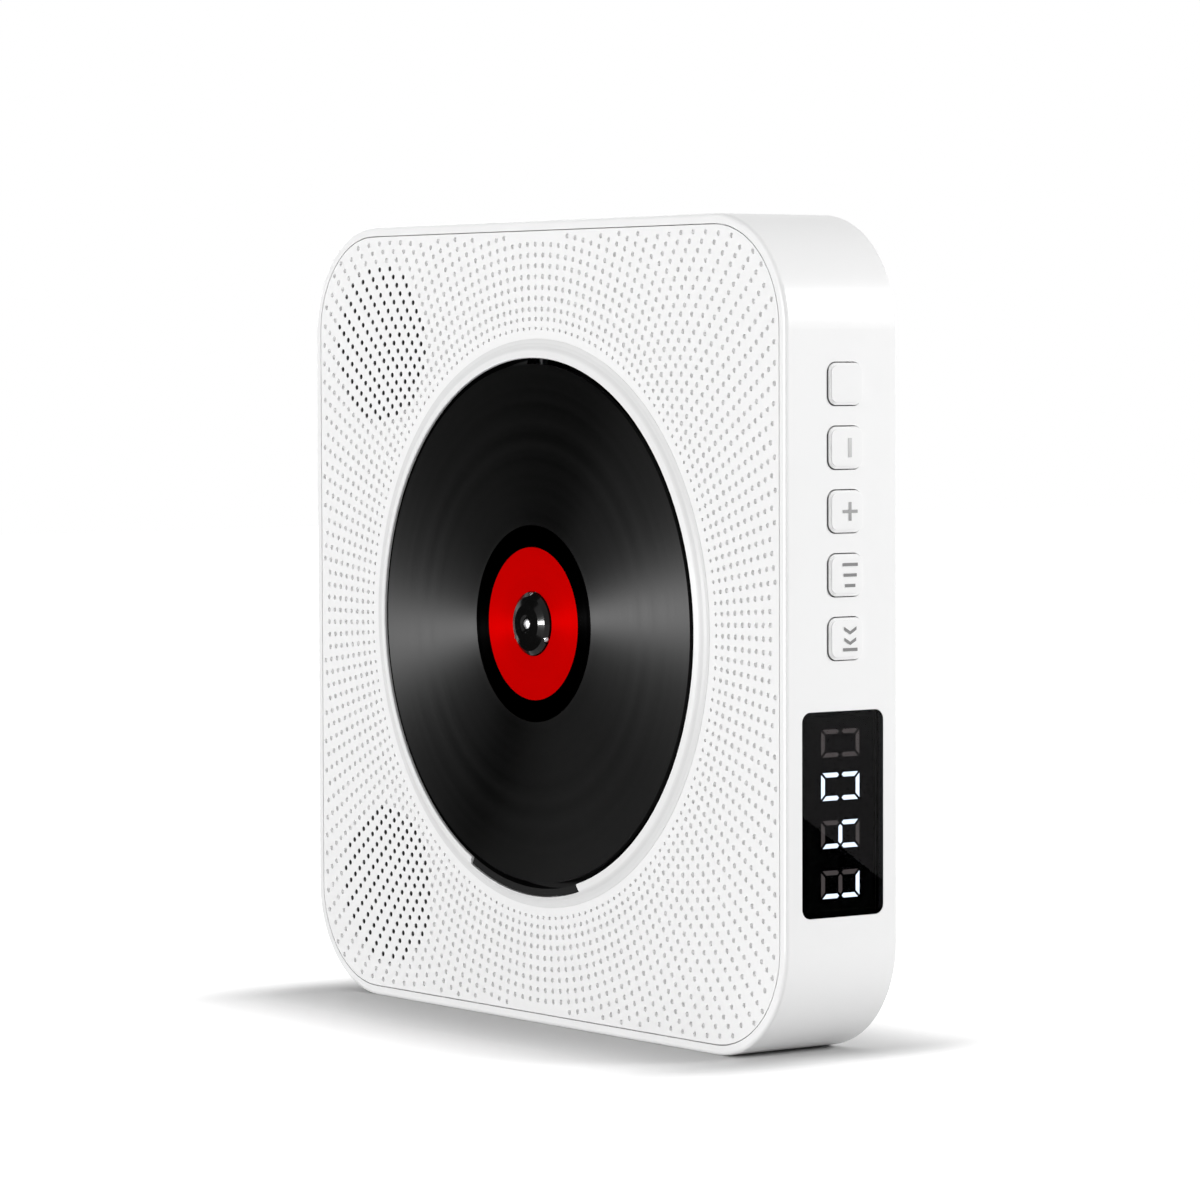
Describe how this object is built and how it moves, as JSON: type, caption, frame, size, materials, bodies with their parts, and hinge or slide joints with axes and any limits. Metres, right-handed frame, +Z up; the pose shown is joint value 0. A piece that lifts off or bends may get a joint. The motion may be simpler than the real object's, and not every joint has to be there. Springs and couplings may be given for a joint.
{
  "type": "wall mounted cd player",
  "caption": "Square upright disc player: disc on a spindle in a round front well, perforated front panel, side keys and digit display, hung on keyholes or stood on its base.",
  "frame": {"origin": "on the bottom face, straight below the disc axis, at the middle of the case depth", "axes": "+Z up; -Y is the front, where the disc is; +X is the side with the keys and the display"},
  "size_m": [0.1879, 0.0346, 0.186],
  "materials": {
    "shell_white": "satin white moulding",
    "grille_white": "satin white moulding",
    "baffle_white": "plain inner moulding",
    "ring_white": "satin white moulding",
    "tray_black": "fine black texture",
    "cover_white": "fine white texture",
    "screw_steel": "plated",
    "chassis_steel": "galvanised sheet",
    "damper_rubber": "soft matt",
    "motor_steel": "plated can",
    "rod_steel": "ground",
    "basket_steel": "black enamel",
    "cone_black": "coated paper",
    "magnet_ferrite": "sintered",
    "board_green": "solder mask",
    "switch_metal": "plated",
    "window_smoke": "gloss smoked",
    "module_black": "matt black",
    "digit_light": "lit segments",
    "chip_black": "moulded",
    "cell_wrap": "shrink film",
    "socket_metal": "plated sheet",
    "socket_black": "moulded",
    "knob_white": "satin",
    "hub_black": "gloss black",
    "pad_rubber": "soft matt",
    "ball_steel": "polished",
    "disc_black": "black, finely grooved",
    "label_red": "printed red",
    "sled_black": "moulded",
    "gear_nylon": "nylon",
    "lens_plastic": "coated lens in a black ring",
    "pinion_brass": "turned",
    "button_white": "satin white moulding"
  },
  "bodies": {
    "case": {"housing_top": "shell_white", "housing_bottom": "shell_white", "housing_left_upper": "shell_white", "housing_left_lower": "shell_white", "housing_right": "shell_white", "front_grille": "grille_white", "front_baffle": "baffle_white", "well_ring": "ring_white", "disc_tray": "tray_black", "back_cover": "cover_white", "case_screws": "screw_steel", "mech_chassis": "chassis_steel", "mech_dampers": "damper_rubber", "mech_screws": "screw_steel", "spindle_motor": "motor_steel", "guide_rods": "rod_steel", "sled_motor": "motor_steel", "speaker_frame_upper": "basket_steel", "speaker_frame_lower": "basket_steel", "speaker_cone_upper": "cone_black", "speaker_cone_lower": "cone_black", "speaker_magnet_upper": "magnet_ferrite", "speaker_magnet_lower": "magnet_ferrite", "key_board": "board_green", "key_switches": "switch_metal", "display_window": "window_smoke", "display_module": "module_black", "display_digits": "digit_light", "main_board": "board_green", "board_chips": "chip_black", "battery_cell": "cell_wrap", "socket_board": "board_green", "usb_socket": "socket_metal", "headphone_jack": "socket_black", "aux_jack": "socket_black", "power_socket": "socket_black", "power_switch_body": "switch_metal"},
    "turntable": {"turntable_hub": "hub_black", "platter_pad": "pad_rubber", "spindle_shaft": "rod_steel"},
    "disc": {"disc": "disc_black", "disc_label": "label_red"},
    "ball_top": {"clamp_ball_top": "ball_steel"},
    "ball_left": {"clamp_ball_left": "ball_steel"},
    "ball_right": {"clamp_ball_right": "ball_steel"},
    "sled": {"pickup_sled": "sled_black", "pickup_rack": "gear_nylon"},
    "lens": {"pickup_lens": "lens_plastic"},
    "sled_gear": {"sled_gear": "gear_nylon"},
    "motor_pinion": {"motor_pinion": "pinion_brass"},
    "switch_knob": {"power_switch_knob": "knob_white"},
    "button_mode": {"button_mode": "button_white"},
    "button_minus": {"button_minus": "button_white"},
    "button_plus": {"button_plus": "button_white"},
    "button_play": {"button_play": "button_white"},
    "button_next": {"button_next": "button_white"}
  },
  "joints": [
    {"name": "turntable_spin", "type": "hinge", "parent": "case", "child": "turntable", "pos_m": [0, 0, 0.093], "axis": [0, 1, 0], "continuous": true},
    {"name": "disc_lift", "type": "slide", "parent": "turntable", "child": "disc", "axis": [0, -1, 0], "range_m": [0, 0.03]},
    {"name": "ball_top_press", "type": "slide", "parent": "turntable", "child": "ball_top", "axis": [0, 0, -1], "range_m": [0, 0.0006], "stiffness_N_per_m": 100, "springref_m": -0.002},
    {"name": "ball_left_press", "type": "slide", "parent": "turntable", "child": "ball_left", "axis": [0.866, 0, 0.5], "range_m": [0, 0.0006], "stiffness_N_per_m": 100, "springref_m": -0.002},
    {"name": "ball_right_press", "type": "slide", "parent": "turntable", "child": "ball_right", "axis": [-0.866, 0, 0.5], "range_m": [0, 0.0006], "stiffness_N_per_m": 100, "springref_m": -0.002},
    {"name": "pickup_slide", "type": "slide", "parent": "case", "child": "sled", "axis": [0, 0, 1], "range_m": [0, 0.033]},
    {"name": "lens_focus", "type": "slide", "parent": "sled", "child": "lens", "axis": [0, -1, 0], "range_m": [-0.0004, 0.0004], "stiffness_N_per_m": 60},
    {"name": "sled_gear_spin", "type": "hinge", "parent": "case", "child": "sled_gear", "pos_m": [0.021, 0, 0.131], "axis": [0, 1, 0], "range_deg": [-5, 456]},
    {"name": "motor_pinion_spin", "type": "hinge", "parent": "case", "child": "motor_pinion", "pos_m": [0.03134, 0, 0.12724], "axis": [0, 1, 0], "range_deg": [-1210, 10]},
    {"name": "power_switch", "type": "slide", "parent": "case", "child": "switch_knob", "axis": [0, 0, 1], "range_m": [0, 0.003]},
    {"name": "press_mode", "type": "slide", "parent": "case", "child": "button_mode", "axis": [-1, 0, 0], "range_m": [0, 0.0008], "stiffness_N_per_m": 300, "springref_m": -0.001},
    {"name": "press_minus", "type": "slide", "parent": "case", "child": "button_minus", "axis": [-1, 0, 0], "range_m": [0, 0.0008], "stiffness_N_per_m": 300, "springref_m": -0.001},
    {"name": "press_plus", "type": "slide", "parent": "case", "child": "button_plus", "axis": [-1, 0, 0], "range_m": [0, 0.0008], "stiffness_N_per_m": 300, "springref_m": -0.001},
    {"name": "press_play", "type": "slide", "parent": "case", "child": "button_play", "axis": [-1, 0, 0], "range_m": [0, 0.0008], "stiffness_N_per_m": 300, "springref_m": -0.001},
    {"name": "press_next", "type": "slide", "parent": "case", "child": "button_next", "axis": [-1, 0, 0], "range_m": [0, 0.0008], "stiffness_N_per_m": 300, "springref_m": -0.001}
  ],
  "couplings": [
    {"joint": "sled_gear_spin", "follows": "pickup_slide", "rad_per_m": 238.1},
    {"joint": "motor_pinion_spin", "follows": "pickup_slide", "rad_per_m": -634.92}
  ]
}
